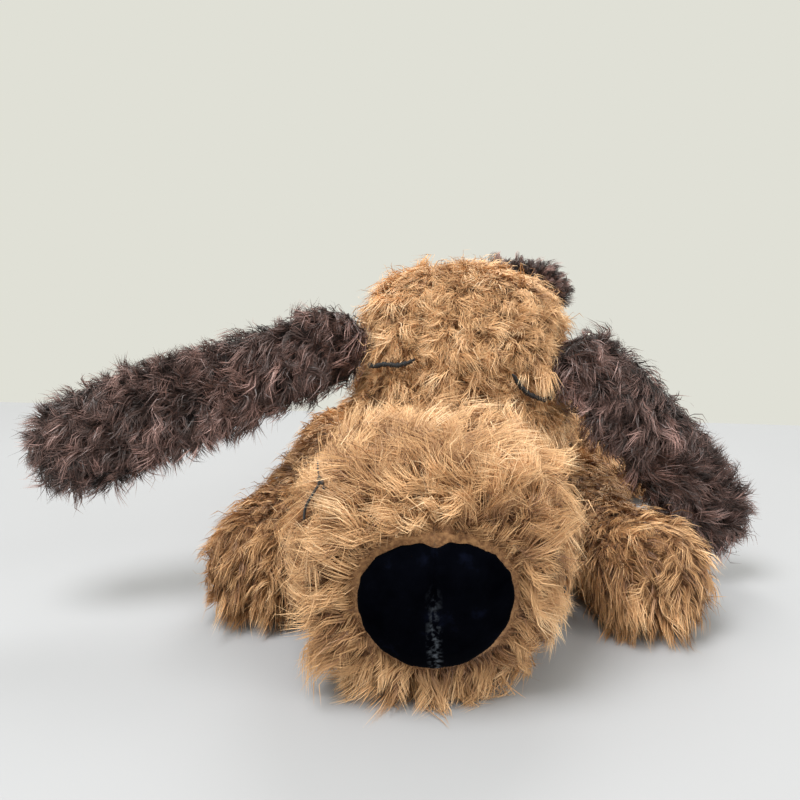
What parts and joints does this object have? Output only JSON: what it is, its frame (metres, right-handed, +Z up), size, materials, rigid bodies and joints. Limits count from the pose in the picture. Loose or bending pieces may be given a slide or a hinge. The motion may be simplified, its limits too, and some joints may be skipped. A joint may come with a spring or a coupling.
{
  "type": "plush dog",
  "caption": "Floppy stuffed plush dog lying on its belly with its chin on the table, closed embroidered eyes, a velvet nose, dark ears and tail.",
  "frame": {"origin": "on the table under the middle of the belly, at the centre of the flat that the dog lies on", "axes": "+Z up, -Y the way the dog faces, +X the dog's own left"},
  "size_m": [0.3377, 0.406, 0.1583],
  "materials": {
    "tan_plush": "matte",
    "dark_plush": "matte",
    "nose_velvet": "matte",
    "black_thread": "satin",
    "fibrefill": "matte",
    "label_tape": "satin"
  },
  "bodies": {
    "torso": {"back_left": "tan_plush", "back_right": "tan_plush", "belly_panel": "tan_plush", "body_stuffing": "fibrefill", "closing_stitch": "black_thread", "label_tape": "label_tape"},
    "neck": {"neck_left": "tan_plush", "neck_right": "tan_plush", "neck_stuffing": "fibrefill"},
    "head": {"head_left": "tan_plush", "head_right": "tan_plush", "head_gusset": "tan_plush", "head_stuffing": "fibrefill", "muzzle_left": "tan_plush", "muzzle_right": "tan_plush", "chin_panel": "tan_plush", "muzzle_stuffing": "fibrefill", "nose_left": "nose_velvet", "nose_right": "nose_velvet", "left_eye_stitch": "black_thread", "right_eye_stitch": "black_thread", "left_muzzle_stitch": "black_thread", "right_muzzle_stitch": "black_thread"},
    "left_ear": {"left_ear_front": "dark_plush", "left_ear_lining": "dark_plush", "left_ear_wadding": "fibrefill"},
    "right_ear": {"right_ear_front": "dark_plush", "right_ear_lining": "dark_plush", "right_ear_wadding": "fibrefill"},
    "left_foreleg": {"left_foreleg_inner": "tan_plush", "left_foreleg_outer": "tan_plush", "left_foreleg_stuffing": "fibrefill"},
    "right_foreleg": {"right_foreleg_inner": "tan_plush", "right_foreleg_outer": "tan_plush", "right_foreleg_stuffing": "fibrefill"},
    "left_hindleg": {"left_hindleg_inner": "tan_plush", "left_hindleg_outer": "tan_plush", "left_hindleg_stuffing": "fibrefill"},
    "right_hindleg": {"right_hindleg_inner": "tan_plush", "right_hindleg_outer": "tan_plush", "right_hindleg_stuffing": "fibrefill"},
    "tail": {"tail_under": "dark_plush", "tail_top": "dark_plush", "tail_stuffing": "fibrefill"}
  },
  "joints": [
    {"name": "head_turn", "type": "hinge", "parent": "torso", "child": "neck", "pos_m": [0, -0.092, 0.062], "axis": [0, 0, 1], "range_deg": [-3, 7]},
    {"name": "head_lift", "type": "hinge", "parent": "neck", "child": "head", "pos_m": [0, -0.092, 0.062], "axis": [-1, 0, 0], "range_deg": [0, 25]},
    {"name": "left_ear_lift", "type": "hinge", "parent": "head", "child": "left_ear", "pos_m": [0.06, -0.146, 0.112], "axis": [0, -1, 0], "range_deg": [0, 45]},
    {"name": "right_ear_lift", "type": "hinge", "parent": "head", "child": "right_ear", "pos_m": [-0.058, -0.149, 0.12], "axis": [0, 1, 0], "range_deg": [-15, 35]},
    {"name": "left_foreleg_swing", "type": "hinge", "parent": "torso", "child": "left_foreleg", "pos_m": [0.06, -0.086, 0.029], "axis": [0, 0, 1], "range_deg": [-4, 2]},
    {"name": "right_foreleg_swing", "type": "hinge", "parent": "torso", "child": "right_foreleg", "pos_m": [-0.061, -0.088, 0.044], "axis": [0, 0, -1], "range_deg": [0, 35]},
    {"name": "left_hindleg_swing", "type": "hinge", "parent": "torso", "child": "left_hindleg", "pos_m": [0.062, 0.08, 0.031], "axis": [0, 0, 1], "range_deg": [0, 30]},
    {"name": "right_hindleg_swing", "type": "hinge", "parent": "torso", "child": "right_hindleg", "pos_m": [-0.062, 0.076, 0.031], "axis": [0, 0, -1], "range_deg": [0, 30]},
    {"name": "tail_swing", "type": "hinge", "parent": "torso", "child": "tail", "pos_m": [0, 0.104, 0.08], "axis": [0, 0, 1], "range_deg": [-25, 25]}
  ]
}
